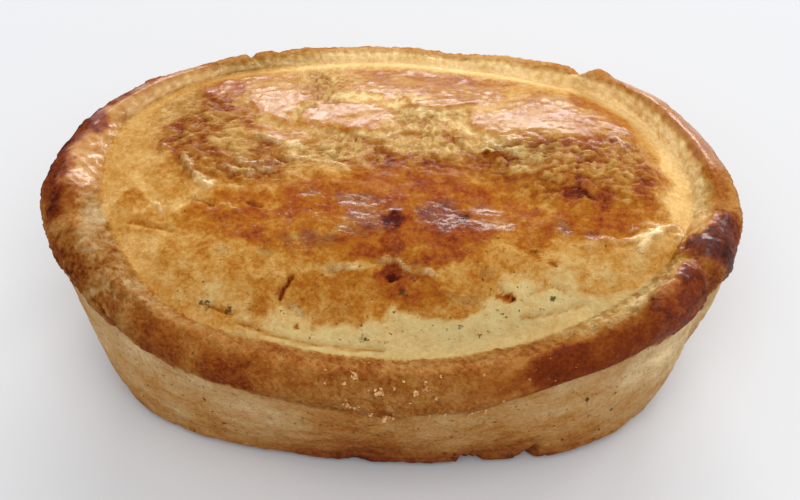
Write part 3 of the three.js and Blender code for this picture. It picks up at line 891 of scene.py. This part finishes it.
# -------------------------------------------------------------------------------------------------
# The crumbs. Bits of the same dough that broke off as the rim was trimmed and baked onto it, dry
# and pale, at the front.
# -------------------------------------------------------------------------------------------------
# The larger ones: angle, place along the section and width in millimetres
BIG_CRUMBS = [
    (263.4, 1.43, 1.1), (262.6, 1.41, 0.7), (256.2, 1.38, 0.6), (256.9, 1.55, 0.5),
    (261.2, 1.52, 0.7), (269.3, 1.60, 1.4), (269.9, 1.61, 0.9), (267.1, 1.60, 0.5),
    (262.0, 1.80, 1.0), (262.6, 1.80, 0.8), (262.0, 1.73, 0.6), (264.1, 1.80, 0.7),
    (264.9, 1.80, 0.6), (259.8, 1.68, 0.4), (280.2, 1.50, 0.8), (280.0, 1.54, 0.8),
    (279.4, 1.58, 0.6), (278.0, 1.60, 0.9), (277.6, 1.62, 0.6), (275.1, 1.48, 0.5),
    (272.9, 1.55, 0.5), (282.4, 1.68, 0.6), (283.8, 1.43, 0.5), (276.6, 1.70, 0.5),
    (270.7, 1.90, 1.1), (271.4, 1.91, 0.8), (267.8, 1.84, 0.7), (272.9, 1.93, 0.7),
    (280.9, 1.93, 0.6), (284.5, 1.94, 0.7), (290.1, 1.95, 0.8), (293.5, 1.94, 1.0),
    (295.0, 1.93, 0.7), (293.5, 1.48, 0.6), (302.5, 1.60, 0.5), (296.8, 1.82, 0.5),
]
SMALL_CRUMBS = 150
CLUMP_FROM, GRAINS_IN_CLUMP = 0.4, 6  # a crumb wider than this is a clump of grains

small = [
    (chance.normal(272, 20), chance.uniform(1.25, 1.92), chance.uniform(0.14, 0.34))
    for _ in range(SMALL_CRUMBS)
]
ball = bmesh.new()
bmesh.ops.create_icosphere(ball, subdivisions=2, radius=0.5)
ball_points = np.array([vertex.co for vertex in ball.verts])
ball_faces = np.array([[vertex.index for vertex in face.verts] for face in ball.faces])
ball.free()
outward = normals(place)
grains, grain_faces = [], []
for turn, row, width in BIG_CRUMBS + small:
    bed = nearest_point(turn, row)
    for _ in range(GRAINS_IN_CLUMP if width > CLUMP_FROM else 1):
        size = chance.uniform(0.3, 0.7) * width
        aside = chance.uniform(-0.6, 0.6, 3) * (width - size)
        squashed = ball_points * chance.uniform(0.5, 1.2, 3) * size
        lumped = squashed * (1 + chance.uniform(-0.4, 0.2, (len(ball_points), 1)))
        grain_faces.append(ball_faces + len(ball_points) * len(grains))
        grains.append(lumped + place[bed] + aside + outward[bed] * size * 0.2)
grains = np.clip(np.concatenate(grains), low, high)
crumbs = piece_from("Crumbs", grains, np.concatenate(grain_faces).tolist(), smooth=False)

# Dry baked crumb: pale gold and quite dull, browner where a grain caught the heat
dry_crumb = bpy.data.materials.new("Dry pastry crumb")
dry_crumb.use_nodes = True
tree = dry_crumb.node_tree
shader = tree.nodes["Principled BSDF"]
toasted = spots(tree, 0.5, 4.0, 0.6)
colour = node(tree, "ValToRGB", {0: toasted}, stops=[(0.36, "A86E36"), (0.64, "E2B67E")])
tree.links.new(colour.outputs[0], shader.inputs["Base Color"])
sandy = node(tree, "Bump", {"Height": toasted, "Distance": 0.15 * MM, "Strength": 1.0})
tree.links.new(sandy.outputs[0], shader.inputs["Normal"])
shader.inputs["Roughness"].default_value = 0.8
shader.inputs["Specular IOR Level"].default_value = 0.2
crumbs.data.materials.append(dry_crumb)
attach(crumbs, "root")


# -------------------------------------------------------------------------------------------------
# The floor, the light and the camera. A pale plain floor, windows behind the pastry and to its
# right, and the white room round it.
# -------------------------------------------------------------------------------------------------
FLOOR_REACH = 3000.0  # millimetres each way
LIT_PLACE = (0, 0, 0.03)  # what the lights point at, in metres

floor_corners = np.array([(-1, -1, 0), (1, -1, 0), (1, 1, 0), (-1, 1, 0)]) * FLOOR_REACH
floor = piece_from("Floor", floor_corners, [(0, 1, 2, 3)])
# Painted board: matt, so that it shows no reflection of the pastry
paint = bpy.data.materials.new("Matt white board")
paint.use_nodes = True
paint.node_tree.nodes["Principled BSDF"].inputs["Base Color"].default_value = linear("CBCDCF")
paint.node_tree.nodes["Principled BSDF"].inputs["Roughness"].default_value = 0.7
floor.data.materials.append(paint)


def area_light(name, position, width, depth, watts, colour):
    """A soft rectangular light that faces the pastry, in metres."""
    light = bpy.data.lights.new(name, "AREA")
    light.shape, light.size, light.size_y = "RECTANGLE", width, depth
    light.energy, light.color = watts, linear(colour)[:3]
    lamp = bpy.data.objects.new(name, light)
    bpy.context.scene.collection.objects.link(lamp)
    lamp.location = position
    lamp.rotation_euler = (Vector(position) - Vector(LIT_PLACE)).to_track_quat("Z", "Y").to_euler()


area_light("Window", (0.3, 2.9, 1.4), 2.3, 1.1, 74.0, "FFFDFC")
area_light("Side window", (2.4, 2.2, 1.3), 0.95, 0.85, 26.0, "FFFDFB")
area_light("Ceiling", (0.1, -1.2, 2.5), 2.6, 2.0, 50.0, "FFFDFB")
world = bpy.data.worlds.new("Room")
world.use_nodes = True
world.node_tree.nodes["Background"].inputs["Color"].default_value = linear("FAFBFF")
world.node_tree.nodes["Background"].inputs["Strength"].default_value = 0.60
bpy.context.scene.world = world
bpy.context.scene.view_settings.view_transform = "Standard"

# Seen from the front, as by someone who leans over the table. Angles in degrees above the floor,
# round to the right, and of roll, then places in millimetres.
RISE, TURN, ROLL = (math.radians(degrees) for degrees in (49.26, 1.478, 0.963))
CAMERA_AWAY, CAMERA_AIM = 296.7, (1.307, -1.317, 18.55)
facing = Matrix.Rotation(TURN, 3, "Z")
aim = facing @ Vector(CAMERA_AIM) * MM
back = Vector((0, -math.cos(RISE), math.sin(RISE)))
right = Vector((1, 0, 0))
above = back.cross(right)
tilted = Matrix((
    math.cos(ROLL) * right + math.sin(ROLL) * above,
    math.cos(ROLL) * above - math.sin(ROLL) * right,
    back,
)).transposed()
lens = bpy.data.cameras.new("Camera")
lens.lens, lens.sensor_width = 90.4, 36.0
camera = bpy.data.objects.new("Camera", lens)
stand = Matrix.Translation(aim + facing @ back * (CAMERA_AWAY * MM))
camera.matrix_world = stand @ (facing @ tilted).to_4x4()
bpy.context.scene.collection.objects.link(camera)
bpy.context.scene.camera = camera
